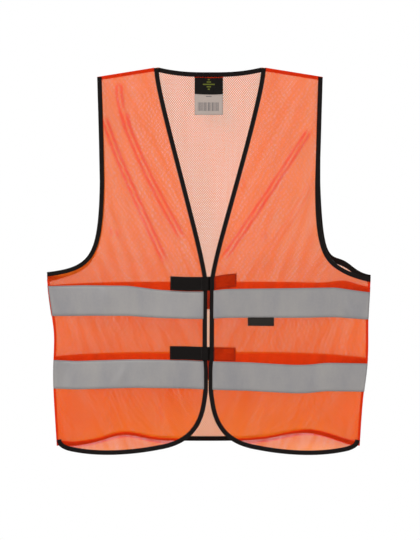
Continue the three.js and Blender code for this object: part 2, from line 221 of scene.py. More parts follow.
# In millimetres. Each crease runs from its start, bent through its middle point, to its end, in
# (x, z). Then come its half width and its height.
FRONT_CREASES = [
    ((-188, -80), (-147, -190), (-64, -366), 5.2, 4.2),
    ((-158, -20), (-135, -130), (-30, -330), 5.8, 4.2),
    ((-184, -190), (-175, -265), (-143, -345), 6, 2.2),
    ((-125, -45), (-145, -80), (-143, -130), 6, 1.8),
    ((-205, -345), (-170, -300), (-150, -240), 8, 1.8),
    ((182, -100), (110, -212), (14, -356), 5, 4.2),
    ((184, -190), (145, -265), (85, -350), 5.6, 2.4),
    ((94, -262), (97, -298), (96, -335), 3.6, 1.8),
    ((50, -150), (55, -200), (78, -232), 4.2, 2),
    ((110, -98), (106, -130), (108, -165), 4, 1.7),
    ((215, -340), (180, -365), (120, -378), 7, 1.8),
    ((-187, -380), (-180, -410), (-172, -440), 8, 1.2),
    ((-140, -520), (-152, -545), (-168, -575), 5.5, 1.6),
    ((-106, -535), (-109, -560), (-113, -580), 5, 1.2),
    ((-84, -515), (-80, -545), (-79, -570), 7, 1.2),
    ((-262, -500), (-258, -540), (-262, -575), 12, -2.2),
    ((83, -382), (85, -410), (86, -440), 8, 1.1),
    ((71, -515), (74, -545), (75, -575), 5, 1.3),
    ((97, -515), (98, -545), (100, -575), 6, 1.2),
    ((33, -522), (27, -542), (8, -553), 3.4, 1.7),
    ((235, -386), (242, -425), (272, -425), 6, 2),
    ((180, -516), (183, -545), (190, -572), 7, 2.2),
    ((262, -515), (257, -545), (240, -572), 8, 1.8),
    ((-115, -455), (-120, -480), (-105, -510), 7, 1.8),
    ((118, -455), (122, -490), (140, -515), 6, 2),
    ((-175, -575), (-172, -610), (-178, -650), 8, 2.2),
    ((-95, -570), (-85, -610), (-85, -655), 5.5, 2.2),
    ((205, -580), (175, -620), (160, -665), 8, 2.2),
    ((110, -575), (90, -620), (85, -665), 7, 2),
]
BACK_CREASES = [
    ((-150, -40), (-110, -180), (-50, -330), 12, 5),
    ((150, -40), (120, -200), (70, -340), 12, 5),
    ((10, -60), (0, -200), (15, -330), 15, 3),
    ((-230, -360), (-150, -345), (-60, -362), 11, 4),
    ((220, -350), (140, -335), (40, -365), 11, 4.5),
    ((-160, -440), (-145, -480), (-160, -520), 12, 3.5),
    ((120, -440), (130, -480), (115, -520), 12, 3.5),
    ((-150, -570), (-155, -610), (-150, -650), 20, 5),
    ((175, -570), (170, -610), (175, -650), 20, 6),
]
CREASE_END = 0.035  # a crease dies away over this distance
CREASES_STOP = 0.03  # they also die away this far from a seam
CREASE_SHADE = 0.8  # how strongly the painted shade on the sides of creases shows
GENTLE, STEEP = 0.22, 0.62  # slopes between which the painted shade on a crease's side begins to show, and shows fully
UNEVENNESS = 0.0022  # of the cloth between its creases
UNEVEN_SCALE = 11.0


def crease_line(start, middle, end, count=13):
    """A line from start to end, bent through the middle point. From millimetres to metres."""
    t = np.linspace(0, 1, count)[:, None]
    start, middle, end = (np.array(point) / 1000 for point in (start, middle, end))
    control = 2 * middle - (start + end) / 2
    return (1 - t) ** 2 * start + 2 * t * (1 - t) * control + t**2 * end


def along_crease(points, line):
    """Each point's distance to a bent line, and its nearest place's distances from the two ends."""
    best, where = np.full(len(points), np.inf), np.zeros(len(points))
    for i in range(len(line) - 1):
        step = line[i + 1] - line[i]
        share = np.clip((points - line[i]) @ step / (step @ step), 0, 1)
        away = np.linalg.norm(points - line[i] - share[:, None] * step, axis=1)
        closer = away < best
        best[closer] = away[closer]
        where[closer] = (i + share[closer]) / (len(line) - 1)
    length = np.linalg.norm(np.diff(line, axis=0), axis=1).sum()
    return best, length * where, length * (1 - where)


def relief(points, creases, seed):
    """How far the cloth stands out from its smooth surface."""
    rise = np.array([noise.noise(Vector((x, seed, z)) * UNEVEN_SCALE) for x, z in points])
    rise *= UNEVENNESS
    for start, middle, end, half_width, height in creases:
        away, begun, left = along_crease(points, crease_line(start, middle, end))
        ends = smooth(begun / CREASE_END) * smooth(left / CREASE_END)
        rise += height / 1000 * hump(away * 1000 / half_width) * ends
    return rise * (1 - near_seam(points[:, 0], points[:, 1], CREASES_STOP))


def steepness(points, creases, seed):
    """From 0 to 1: how steeply the cloth turns away along its creases, where its threads close up and
    painted shade darkens them.
    """
    step = 0.001
    here = relief(points, creases, seed)
    across = relief(points + (step, 0), creases, seed) - here
    down = relief(points + (0, step), creases, seed) - here
    return CREASE_SHADE * smooth((np.hypot(across, down) / step - GENTLE) / (STEEP - GENTLE))


# ---- laying the flat cut on the front and the back ----

OFF_CENTRE = 0.001  # the vest hangs this far to the wearer's right
LEAN = 0.003  # and this much further lower down
# How far the front's tapes ride up, from the wearer's right to the left: (x, rise) in millimetres.
UPPER_SWAY = [
    (-285, 6.2), (-220, 7.8), (-140, 6.8), (-90, 0), (-40, -2.9),
    (-5, -2.9), (30, 1.2), (160, 2.9), (225, 3.7), (248, 0), (285, -5),
]
LOWER_SWAY = [
    (-285, 1.5), (-235, -0.9), (-130, 2.8), (-40, 2), (20, -1),
    (70, -2.8), (150, -8.3), (175, -8), (205, -4.3), (285, -6),
]
FRONT_SEED, BACK_SEED = 3.0, 7.0


def leaning(x, z):
    """Across: the whole vest leans, and each side is drawn in below the upper tape."""
    at_side = smooth((np.abs(x) - 0.15) / 0.12)
    right_in = 0.0075 * hump((z + 0.465) / 0.06)
    left_in = 0.0045 * hump((z + 0.510) / 0.055)
    drawn_in = right_in * (x < 0) + left_in * (x > 0)
    return x - OFF_CENTRE - LEAN * smooth((-z - 0.1) / 0.4) + at_side * drawn_in


def swayed(x, path):
    """A smooth curve's height through the points of a sway."""
    across, rise = np.array(path).T / 1000
    at = np.linspace(across[0], across[-1], 115)
    rough = np.interp(at, across, rise)
    near = np.exp(-(((at[:, None] - at) / 0.008) ** 2))
    return np.interp(x, at, near @ rough / near.sum(axis=1))


def front_rise(x, z):
    """How far the front rides up: each sway is felt near its own tape."""
    upper = swayed(x, UPPER_SWAY) * hump((z + 0.391) / 0.06)
    lower = swayed(x, LOWER_SWAY) * hump((z + 0.540) / 0.07)
    return upper + lower


GAP_REACH = 0.03  # a front's shift at its edge dies away over this distance


def front_gap(z):
    """How far each front edge stands out from the centre line: open to the lower tab, then shut."""
    opened = 0.0007 * smooth((-z - 0.30) / 0.07) * (1 - smooth((-z - 0.505) / 0.02))
    shut = 0.0011 * smooth((-z - 0.515) / 0.02) * (1 - smooth((-z - 0.56) / 0.03))
    return opened - shut


def layer_y(x, z, own, other, spread):
    """A layer's depth: on its own surface, parted at seams, and drawn to the other at the shoulder."""
    y = own(x, z) + spread * near_seam(x, z, SPREAD_REACH)
    drawn_together = near_seam(x, z, SHOULDER_REACH) * (z > SHOULDER_FROM_Z)
    return y + drawn_together * (other(x, z) - own(x, z)) / 2


def on_front(points, out=0.0):
    """Points of the flat cut laid on the front, a distance out from it."""
    x, z = points.T
    y = layer_y(x, z, front_y, back_y, -SEAM_SPREAD)
    y -= relief(points, FRONT_CREASES, FRONT_SEED) + out
    shift = np.sign(x) * front_gap(z) * np.exp(-np.abs(x) / GAP_REACH)
    return np.stack([leaning(x, z) + shift, y, z + front_rise(x, z)], axis=1)


# How far the back has slipped at the left armhole, (x, z): along its side, and in its corner.
SIDE_SLIP, CORNER_SLIP = (0.005, 0.001), (0.002, 0.015)


def armhole_slip(x, z):
    """The back's left armhole shows beside the front's, because the back has slipped outwards."""
    side = hump((x - 0.205) / 0.035) * hump((z + 0.27) / 0.10)
    corner = hump((x - 0.238) / 0.026) * hump((z + 0.350) / 0.03)
    return [along * side + around * corner for along, around in zip(SIDE_SLIP, CORNER_SLIP)]


HEM_RIDES = [(-0.150, 0.042, 0.012), (0.175, 0.062, 0.017)]  # (middle, half width, rise)
HEM_SAG, HEM_MIDDLE_SAG = 0.0045, 0.006


def hem_lift(x, z):
    """The back hem rides up in two places and sags between them."""
    lift = sum(rise * hump((x - middle) / half_width) for middle, half_width, rise in HEM_RIDES)
    lift -= HEM_SAG + HEM_MIDDLE_SAG * hump(x / 0.13)
    return lift * smooth((-z - 0.57) / 0.08) * smooth((side_x(z) - np.abs(x)) / 0.03)


LEFT_SAG, RIGHT_SAG = 0.016, 0.011


def tape_sag(x, z):
    """The back is pulled down towards its side seams, below the armholes."""
    pull = np.where(x > 0, LEFT_SAG, RIGHT_SAG) * (x / CHEST_HALF) ** 4
    return -pull * smooth((UNDERARM_Z - z) / 0.014) * hump((z + 0.44) / 0.10)


def on_back(points, out=0.0):
    """Points of the flat cut laid on the back, a distance out from it."""
    x, z = points.T
    y = layer_y(x, z, back_y, front_y, SEAM_SPREAD)
    y += relief(points, BACK_CREASES, BACK_SEED) + out
    slip_x, slip_z = armhole_slip(x, z)
    lift = hem_lift(x, z) + tape_sag(x, z)
    return np.stack([leaning(x, z) + slip_x, y, z + slip_z + lift], axis=1)


def on_seam(points, out=0.0):
    """Points between the front and the back, where the two are sewn together."""
    x, z = points.T
    y = front_y(x, z) + (z > SHOULDER_FROM_Z) * (back_y(x, z) - front_y(x, z)) / 2
    return np.stack([leaning(x, z), y - out, z], axis=1)


# ---- outlines of the flat cut, for the wearer's left ----
# Each path keeps the cloth on its left.

PATH_STEP = 0.004


def front_edge():
    """Down the V and the front edge, round the corner and along the hem to the side seam."""
    deep = V_TOP_Z - V_FOOT_Z
    v = bezier(
        (NECK_HALF, V_TOP_Z),
        (NECK_HALF - 0.005, V_TOP_Z - 0.16 * deep),
        (EDGE_X + 0.005, V_FOOT_Z + 0.12 * deep),
        (EDGE_X, V_FOOT_Z),
    )
    corner_end = (EDGE_X + CORNER_REACH, HEM_Z - 0.006)
    corner = bezier(
        (EDGE_X, HEM_Z + CORNER_HEIGHT),
        (EDGE_X + 0.003, HEM_Z + 0.42 * CORNER_HEIGHT),
        (EDGE_X + 0.28 * CORNER_REACH, HEM_Z + 0.004),
        corner_end,
    )
    side_end = (HEM_HALF - 0.019, HEM_Z - 0.0085)
    hem = bezier(corner_end, (0.140, HEM_Z - 0.017), (0.200, HEM_Z - 0.0195), side_end)
    side = bezier(
        side_end,
        (HEM_HALF - 0.008, HEM_Z - 0.005),
        (HEM_HALF, HEM_Z),
        (HEM_HALF + 0.0005, HEM_Z + 0.010),
    )
    return resampled(joined([(NECK_HALF + 0.0008, -0.001)], v, corner, hem, side), PATH_STEP)


def armhole():
    """From the underarm up to the shoulder."""
    curve = bezier(
        (CHEST_HALF, UNDERARM_Z),
        (ARMHOLE_HALF + 0.020, UNDERARM_Z + 0.008),
        (ARMHOLE_HALF, UNDERARM_Z + 0.022),
        (ARMHOLE_HALF, 0.55 * UNDERARM_Z),
    )
    top = [(SHOULDER_HALF - 0.002, SHOULDER_Z - 0.060), (SHOULDER_HALF, SHOULDER_Z)]
    return resampled(joined(curve, top), PATH_STEP)


def back_neck():
    """From the wearer's left neck point to the right one."""
    half = bezier(
        (NECK_HALF, -0.0005),
        (0.6 * NECK_HALF, NECK_DIP_Z),
        (0.3 * NECK_HALF, NECK_DIP_Z),
        (0, NECK_DIP_Z),
    )
    return resampled(joined(half, mirrored(half)), PATH_STEP)


def back_hem():
    x = np.linspace(-HEM_HALF, HEM_HALF, 130)
    return np.stack([x, HEM_Z + (HEM_MIDDLE_Z - HEM_Z) * (1 - (x / HEM_HALF) ** 2)], axis=1)


def side_seam():
    return np.array([(HEM_HALF, HEM_Z), (CHEST_HALF, UNDERARM_Z)])


def shoulder_seam():
    """From the armhole to the neck."""
    return np.array([(SHOULDER_HALF, SHOULDER_Z), (NECK_HALF, 0)])


EDGE_IN_BINDING = 0.003  # the mesh ends this far inside the binding's fold


def front_outline():
    edge = inset(front_edge(), EDGE_IN_BINDING)
    side = [(HEM_HALF, HEM_Z + 0.012), (CHEST_HALF, UNDERARM_Z)]
    return joined(edge, side, inset(armhole(), EDGE_IN_BINDING), shoulder_seam())


def back_outline():
    half = joined(side_seam(), inset(armhole(), EDGE_IN_BINDING), shoulder_seam())
    hem = inset(back_hem(), EDGE_IN_BINDING)
    neck = inset(back_neck(), EDGE_IN_BINDING)
    return joined(hem[1:-1], half, neck[1:-1], mirrored(half))


# ---- making pieces ----


def make_piece(name, points, faces, uvs, kind):
    """A smooth mesh object of one kind of cloth. uvs: each point's place on the flat cut."""
    mesh = bpy.data.meshes.new(name)
    mesh.from_pydata([tuple(p) for p in points], [], [tuple(map(int, f)) for f in faces])
    corners = np.empty(len(mesh.loops), np.int32)
    mesh.loops.foreach_get("vertex_index", corners)
    layer = mesh.uv_layers.new(name="cut")
    layer.data.foreach_set("uv", np.asarray(uvs, np.float32)[corners].ravel())
    work = bmesh.new()
    work.from_mesh(mesh)
    bmesh.ops.recalc_face_normals(work, faces=work.faces)
    work.to_mesh(mesh)
    work.free()
    mesh.shade_smooth()
    mesh.materials.append(MATERIALS[kind])
    piece = bpy.data.objects.new(name, mesh)
    bpy.context.scene.collection.objects.link(piece)
    return piece


def inside(points, outline):
    """Whether each point lies within an outline."""
    x, z = points.T
    found = np.zeros(len(points), bool)
    for (x0, z0), (x1, z1) in zip(outline, np.roll(outline, -1, axis=0)):
        crosses = (z0 > z) != (z1 > z)
        if crosses.any():
            found ^= crosses & (x < x0 + (z - z0) * (x1 - x0) / (z1 - z0 + 1e-12))
    return found


def filled(outline, spacing):
    """Points and triangles that fill an outline evenly."""
    rim = resampled(np.vstack([outline, outline[:1]]), spacing)[:-1]
    low, high = rim.min(axis=0), rim.max(axis=0)
    rows = np.arange(low[1], high[1], spacing * math.sqrt(3) / 2)
    columns = np.arange(low[0], high[0], spacing)
    grid = np.array([(x + i % 2 * spacing / 2, z) for i, z in enumerate(rows) for x in columns])
    grid = grid[inside(grid, rim)]
    away = np.array([np.hypot(*(rim - p).T).min() for p in grid])
    grid = grid[away > 0.6 * spacing]
    every = [Vector(p) for p in np.vstack([rim, grid])]
    points, _, faces, *_ = delaunay_2d_cdt(every, [], [list(range(len(rim)))], 1, 1e-6)
    return np.array([tuple(p) for p in points]), faces


def note(piece, name, values):
    """Keep a value for each point of a piece, for its material to read."""
    kept = piece.data.attributes.new(name, "FLOAT", "POINT")
    kept.data.foreach_set("value", values.astype(np.float32))


def panel(name, outline, spacing, place, creases, seed, kind):
    """A single layer of mesh cloth."""
    points, faces = filled(outline, spacing)
    piece = make_piece(name, place(points), faces, points, kind)
    # painted shade down the sides of creases, where the holes also close
    note(piece, "steep", steepness(points, creases, seed))
    # painted shadow of the back's tapes and hem on the front
    if place is on_front:
        note(piece, "painted_back_shadow", painted_back_shadow(points))
    return piece


def loop_faces(rings, around):
    """Faces of a closed tube of rings, with a cap at each end."""
    faces = []
    for i in range(rings - 1):
        for j in range(around):
            a, b = i * around + j, i * around + (j + 1) % around
            faces.append((a, b, b + around, a + around))
    faces.append(range(around))
    faces.append(range((rings - 1) * around, rings * around))
    return faces


def band(name, path, section, place, kind):
    """A section of (inward, outward) distances, swept along a path of the flat cut."""
    side = inward(path)
    along = np.concatenate([[0], np.cumsum(np.linalg.norm(np.diff(path, axis=0), axis=1))])
    rings = [place(path + deep * side, out) for deep, out in section]
    points = np.stack(rings, axis=1).reshape(-1, 3)
    uvs = [(s, deep) for s in along for deep, _ in section]
    return make_piece(name, points, loop_faces(len(path), len(section)), uvs, kind)


def half_turn(half, count=7):
    """(inward, outward) distances round a fold, from its outer face to its inner one."""
    return [(half * (1 - math.sin(a)), half * math.cos(a)) for a in np.linspace(0, math.pi, count)]


def folded_section(width, half):
    """A tape folded over an edge: round at the fold, and fuller there than at its inner edges."""
    shares = (0.95, 0.75, 0.5, 0.3)
    flat = [(width * share, half * (0.80 + 0.12 * math.sin(7 * share))) for share in shares]
    under = [(deep, -out) for deep, out in reversed(flat)]
    return [(width, 0.6 * half), *flat, *half_turn(half), *under, (width, -0.6 * half)]


def seam_section(width):
    """Cloth turned in along a seam: thinner where it ends."""
    return [(width, 0.4 * SEAM_HALF), *half_turn(SEAM_HALF), (width, -0.4 * SEAM_HALF)]


def sheet_faces(across, down):
    """Faces of a thin closed sheet: a grid of points, the same grid on its far side, and the rim."""
    wide = across + 1
    count = wide * (down + 1)
    faces = []
    for row in range(down):
        for col in range(across):
            a = row * wide + col
            quad = (a, a + 1, a + 1 + wide, a + wide)
            faces += [quad, tuple(count + i for i in reversed(quad))]
    rim = list(range(wide))
    rim += [row * wide + across for row in range(1, down + 1)]
    rim += [down * wide + col for col in reversed(range(across))]
    rim += [row * wide for row in reversed(range(1, down))]
    faces += [(a, b, count + b, count + a) for a, b in zip(rim, rim[1:] + rim[:1])]
    return faces


def patch(name, at, cells, place, thickness, out, kind):
    """A thin closed sheet. at(u, v) gives points of the flat cut for u and v from 0 to 1."""
    across, down = cells
    u, v = np.meshgrid(np.linspace(0, 1, across + 1), np.linspace(0, 1, down + 1))
    flat = np.stack(at(u.ravel(), v.ravel()), axis=1)
    near = place(flat, out + thickness / 2)
    far = place(flat, out - thickness / 2)
    faces = sheet_faces(across, down)
    return make_piece(name, np.vstack([near, far]), faces, np.vstack([flat, flat]), kind)


# Of each kind of sewing: the thread's radius, a stitch's length, the thread and the slot it fills.
SEWING = {
    "binding": (0.00022, 0.0032, "black_thread", "black_binding"),
    "tape": (0.00020, 0.0034, "grey_thread", "reflective_tape"),
    "hook": (0.00025, 0.0030, "black_thread", "hook_tape"),
    "loop": (0.00022, 0.0028, "black_thread", "loop_tape"),
    "tag": (0.00018, 0.0024, "black_thread", "grey_tag"),
}
STITCH_ARCH = np.array([-1, 0.7, 1, 0.7, -1])  # a stitch's height along it, in radii of its thread


def stitched(name, paths, place, out, sewing):
    """Rows of stitches, each a short thread that dips at both ends, along paths of the flat cut."""
    radius, length, thread, slot = SEWING[sewing]
    share = np.linspace(0.12, 0.88, len(STITCH_ARCH))[:, None]
    lines = []
    for path in paths:
        ends = resampled(path, length)
        lines += [a + share * (b - a) for a, b in zip(ends[:-1], ends[1:])]
    lift = np.tile(out + radius * STITCH_ARCH, len(lines))
    placed = place(np.vstack(lines), lift).reshape(len(lines), -1, 3)
    points, faces = [], []
    for line in placed:
        faces += [[len(points) + i for i in face] for face in loop_faces(len(line), 4)]
        points += thread_points(line, radius)
    return make_piece(name, points, faces, [(p[0], p[2]) for p in points], thread)


def thread_points(line, radius):
    """A four-sided thread round a line."""
    ahead = np.gradient(line, axis=0)
    ahead /= np.linalg.norm(ahead, axis=1, keepdims=True)
    depth = np.array((0, 1, 0))
    sides = [(aside, depth, -aside, -depth) for aside in np.cross(ahead, depth)]
    return [tuple(at + radius * side) for at, four in zip(line, sides) for side in four]


# ---- materials ----


class Shading:
    """A material's node tree, built up by short calls."""

    def __init__(self, name):
        self.material = bpy.data.materials.new(name)
        self.material.use_nodes = True
        self.tree = self.material.node_tree
        self.tree.nodes.clear()

    def node(self, kind, values=None, **settings):
        made = self.tree.nodes.new("ShaderNode" + kind)
        for key, value in settings.items():
            setattr(made, key, value)
        for key, value in (values or {}).items():
            self.set(made.inputs[key], value)
        return made

    def set(self, socket, value):
        if isinstance(value, bpy.types.NodeSocket):
            self.tree.links.new(value, socket)
        else:
            socket.default_value = value

    def math(self, operation, *values):
        made = self.node("Math", dict(enumerate(values)), operation=operation)
        return made.outputs[0]

    def flat(self):
        """The place on the flat cut, in metres."""
        return self.node("UVMap", uv_map="cut").outputs[0]

    def cut(self):
        """The same place as two numbers: across and down."""
        apart = self.node("SeparateXYZ", {0: self.flat()})
        return apart.outputs[0], apart.outputs[1]

    def wave(self, along, pitch):
        """The cosine of a coordinate, once round in each pitch."""
        return self.math("COSINE", self.math("MULTIPLY", along, 2 * math.pi / pitch))

    def noise(self, scale, detail=3.0, roughness=0.5, stretch=(1, 1, 1)):
        placed = self.node("Mapping", {"Vector": self.flat(), "Scale": stretch})
        values = {"Vector": placed.outputs[0], "Scale": scale, "Detail": detail}
        return self.node("TexNoise", {**values, "Roughness": roughness}).outputs[0]

    def ranged(self, value, low, high, to_low, to_high):
        values = {0: value, 1: low, 2: high, 3: to_low, 4: to_high}
        return self.node("MapRange", values).outputs[0]

    def colours(self, share, first, second):
        """From the first colour to the second; a Mix node keeps its colours in sockets 6 and 7."""
        made = self.node("Mix", data_type="RGBA")
        self.set(made.inputs[0], share)
        self.set(made.inputs[6], first)
        self.set(made.inputs[7], second)
        return made.outputs[2]

    def bump(self, height, distance, strength=1.0):
        values = {"Height": height, "Distance": distance, "Strength": strength}
        return self.node("Bump", values).outputs[0]

    def shader_mix(self, share, first, second):
        return self.node("MixShader", {0: share, 1: first, 2: second}).outputs[0]

    def finish(self, shader):
        output = self.node("OutputMaterial")
        self.tree.links.new(shader, output.inputs[0])
        return self.material


def colour(red, green, blue):
    """A display colour from 0 to 255, as Blender's linear RGBA."""
    return tuple(linear(value / 255) for value in (red, green, blue)) + (1.0,)


def linear(value):
    return value / 12.92 if value <= 0.04045 else ((value + 0.055) / 1.055) ** 2.4


# The fluorescent thread: as it is, in worn places, with painted shade down the sides of creases, and
# lit from behind.
THREAD, THREAD_WORN_AND_SHADED, THREAD_PAINTED_SHADE = colour(255, 64, 14), colour(246, 56, 12), colour(238, 42, 8)
# The back's glow is darker than the front's: painted shade on the inside of the vest.
FRONT_GLOW, BACK_GLOW_SHADED = colour(244, 174, 50), colour(196, 146, 50)
UNLIT = colour(70, 8, 2)  # painted shadow: the glow where the back's hem keeps all light off the thread from behind
FRONT_HOLES = (0.0025, 0.0031)  # the pitch of the knitted holes, across and down
BACK_HOLES = (0.0036, 0.0044)
STRAY = 0.0045  # how far the rows of holes wander
# The thread covers more towards the hem: painted shade, as less white shows through lower down.
CHEST_Z = -0.30
OPEN_AT, SHUT_AT = 0.38, 0.80  # how much of the lattice thread covers, at the chest and at the hem
GLOW_SHARE = 0.4  # of the light on the thread, this much is let through
# Of each knit: its own wandering, the pitch of its holes, how softly they end, and how streaky it is.
FRONT_KNIT = {"seed": 1.0, "pitch": FRONT_HOLES, "softness": 0.8, "streaking": 0.22}
BACK_KNIT = {"seed": 5.0, "pitch": BACK_HOLES, "softness": 1.3, "streaking": 0.03}


def strayed(s, seed):
    """The place on the cut, with the small wandering of a knit's rows."""
    values = {"Vector": s.flat(), "W": seed, "Scale": 45.0, "Detail": 2.0}
    wander = s.node("TexNoise", values, noise_dimensions="4D").outputs["Color"]
    centred = s.node("VectorMath", {0: wander, 1: (0.5, 0.5, 0.5)}, operation="SUBTRACT").outputs[0]
    scaled = s.node("VectorMath", {0: centred, "Scale": STRAY}, operation="SCALE").outputs[0]
    placed = s.node("VectorMath", {0: s.flat(), 1: scaled}, operation="ADD").outputs[0]
    apart = s.node("SeparateXYZ", {0: placed})
    return apart.outputs[0], apart.outputs[1]


def drawn(s):
    """Long faint streaks where the cloth is drawn from the armhole towards the foot of the V."""
    across, down = s.cut()
    mirrored_place = s.node("CombineXYZ", {0: s.math("ABSOLUTE", across), 1: down}).outputs[0]
    values = {"Vector": mirrored_place, "Rotation": (0, 0, -0.40), "Scale": (1, 9, 1)}
    turned = s.node("Mapping", values, vector_type="TEXTURE").outputs[0]
    return s.node("TexNoise", {"Vector": turned, "Scale": 75.0, "Detail": 4.0}).outputs[0]


def holes(s, lattice, down, steep, knit):
    """1 in the holes and 0 on the thread, which covers more in streaks and on creases, and more lower
    down as painted shade.
    """
    # painted shade: the holes close towards the hem
    covered = s.ranged(down, CHEST_Z, HEM_Z, OPEN_AT, SHUT_AT)
    streaks = s.ranged(drawn(s), 0.3, 0.7, -knit["streaking"], knit["streaking"])
    wales = s.ranged(s.noise(260.0, 1.0, 0.5, (1, 0.02, 1)), 0.3, 0.7, -0.05, 0.05)
    uneven = s.math("ADD", covered, s.math("ADD", streaks, wales))
    closing = s.math("MULTIPLY_ADD", steep, 0.3, uneven)
    soft = knit["softness"]
    return s.ranged(s.math("SUBTRACT", lattice, closing), -soft, soft, 0.0, 1.0)


def light_through(s, steep, tints, glow_tint):
    """The colour of light let through the thread, with painted shadow: red over a tape of the back,
    dark over its hem.
    """
    fresh, _, deep = tints
    # painted shadow: red over the back's tapes, dark over its hem
    painted_back_shadow = s.node("Attribute", attribute_name="painted_back_shadow").outputs["Fac"]
    back_tape_shadow = s.colours(s.ranged(painted_back_shadow, 0, 0.5, 0, 1), s.colours(steep, glow_tint, fresh), deep)
    return s.colours(s.ranged(painted_back_shadow, 0.5, 1, 0, 1), back_tape_shadow, UNLIT)


def mesh_cloth(name, knit, tints, glow_tint):
    """Knitted polyester mesh: staggered holes, and fluorescent thread that lets light through."""
    s = Shading(name)
    across, down = strayed(s, knit["seed"])
    wide, high = knit["pitch"]
    lattice = s.math("MULTIPLY", s.wave(across, wide), s.wave(down, high))
    steep = s.node("Attribute", attribute_name="steep").outputs["Fac"]
    fresh, worn, deep = tints
    wear = s.ranged(s.noise(24.0, 6.0, 0.7), 0.35, 0.65, 0.0, 1.0)
    # painted shade: the thread deepens in tint down the sides of creases
    tint = s.colours(steep, s.colours(wear, fresh, worn), deep)
    ribs = s.math("MULTIPLY_ADD", s.wave(across, wide / 2), 0.35, lattice)
    normal = s.bump(ribs, 0.00025, 0.7)
    values = {"Base Color": tint, "Roughness": 0.85, "Normal": normal, "Specular IOR Level": 0.08}
    cloth = s.node("BsdfPrincipled", values)
    through = light_through(s, steep, tints, glow_tint)
    glow = s.node("BsdfTranslucent", {"Color": through, "Normal": normal})
    body = s.shader_mix(GLOW_SHARE, cloth.outputs[0], glow.outputs[0])
    open_air = s.node("BsdfTransparent").outputs[0]
    return s.finish(s.shader_mix(holes(s, lattice, down, steep, knit), body, open_air))


def dense_cloth():
    """Several layers of the mesh sewn flat, so that hardly a hole shows."""
    s = Shading("seam_allowance")
    across, down = s.cut()
    wide, high = FRONT_HOLES
    lattice = s.math("MULTIPLY", s.wave(across, wide), s.wave(down, high))
    shade = s.ranged(s.math("ADD", lattice, s.noise(120.0)), -0.5, 1.5, 0.0, 1.0)
    tint = s.colours(shade, colour(224, 34, 6), colour(244, 56, 16))
    normal = s.bump(lattice, 0.0003, 0.8)
    cloth = s.node("BsdfPrincipled", {"Base Color": tint, "Roughness": 0.8, "Normal": normal})
    glow = s.node("BsdfTranslucent", {"Color": colour(240, 46, 10)})
    return s.finish(s.shader_mix(0.2, cloth.outputs[0], glow.outputs[0]))


def woven_tape(name, dark, light, rib, rough, depth=0.00015):
    """Closely woven tape: ribs across it, a fine weave along it, and lint."""
    s = Shading(name)
    along, across = s.cut()
    weave = s.math("MULTIPLY", s.wave(along, rib), s.wave(across, rib * 1.3))
    lint = s.ranged(s.noise(420.0, 4.0, 0.7), 0.58, 0.75, 0.0, 1.0)
    shade = s.math("ADD", s.ranged(weave, -1, 1, 0.0, 0.45), s.math("MULTIPLY", lint, 0.5))
    roughness = s.ranged(s.noise(90.0), 0.3, 0.7, rough - 0.08, rough + 0.08)
    values = {
        "Base Color": s.colours(shade, dark, light),
        "Roughness": roughness,
        "Normal": s.bump(weave, depth),
        "Specular IOR Level": 0.15,
    }
    return s.finish(s.node("BsdfPrincipled", values).outputs[0])


def reflective_tape():
    """Retroreflective fabric: a grey bead coat with faint rubbed patches and soft flattened creases.
    """
    s = Shading("reflective_tape")
    beads = s.noise(2600.0, 2.0, 0.6)
    rubbed = s.ranged(s.noise(16.0, 6.0, 0.65, (1, 0.35, 1)), 0.35, 0.68, 0.0, 1.0)
    grain = s.ranged(s.noise(260.0, 3.0), 0.3, 0.7, -0.10, 0.10)
    share = s.math("ADD", rubbed, grain)
    tint = s.colours(share, colour(143, 141, 143), colour(158, 154, 151))
    roughness = s.ranged(rubbed, 0, 1, 0.42, 0.56)
    creased = s.noise(38.0, 4.0, 0.6, (1, 0.25, 1))
    height = s.math("MULTIPLY_ADD", beads, 0.06, creased)
    values = {
        "Base Color": tint,
        "Metallic": 0.15,
        "Roughness": roughness,
        "Normal": s.bump(height, 0.0008, 0.35),
        "Specular IOR Level": 0.4,
    }
    return s.finish(s.node("BsdfPrincipled", values).outputs[0])


def hook_tape(name, dark, light, pitch):
    """Hook or loop tape: close rows of small bristles."""
    s = Shading(name)
    across, down = s.cut()
    rows = s.math("MULTIPLY", s.wave(across, pitch), s.wave(down, pitch))
    fuzz = s.noise(900.0, 3.0, 0.7)
    shade = s.math("MULTIPLY", s.ranged(rows, -0.2, 1, 0.0, 1.0), s.ranged(fuzz, 0.35, 0.7, 0.2, 1.0))
    height = s.math("ADD", rows, fuzz)
    values = {
        "Base Color": s.colours(shade, dark, light),
        "Roughness": s.ranged(fuzz, 0.3, 0.7, 0.7, 0.95),
        "Normal": s.bump(height, 0.0004),
        "Specular IOR Level": 0.2,
    }
    return s.finish(s.node("BsdfPrincipled", values).outputs[0])


def thread_material(name, tint):
    """Twisted sewing thread."""
    s = Shading(name)
    across, down = s.cut()
    twist = s.wave(s.math("ADD", across, down), 0.0006)
    shade = s.ranged(twist, -1, 1, 0.0, 1.0)
    lighter = tuple(min(1.0, 1.5 * channel + 0.01) for channel in tint[:3]) + (1.0,)
    values = {
        "Base Color": s.colours(shade, tint, lighter),
        "Roughness": 0.6,
        "Normal": s.bump(twist, 0.0001),
    }
    return s.finish(s.node("BsdfPrincipled", values).outputs[0])


BLACK, BLACK_LIGHT = colour(12, 8, 7), colour(36, 26, 23)
FRONT_TINTS = (THREAD, THREAD_WORN_AND_SHADED, THREAD_PAINTED_SHADE)
# The back takes the worn tint as its base: painted shade on the inside of the vest; the front uses it
# for worn places.
BACK_TINTS_SHADED = (THREAD_WORN_AND_SHADED, THREAD_WORN_AND_SHADED, THREAD_PAINTED_SHADE)
LABEL_BUMP = 0.00005

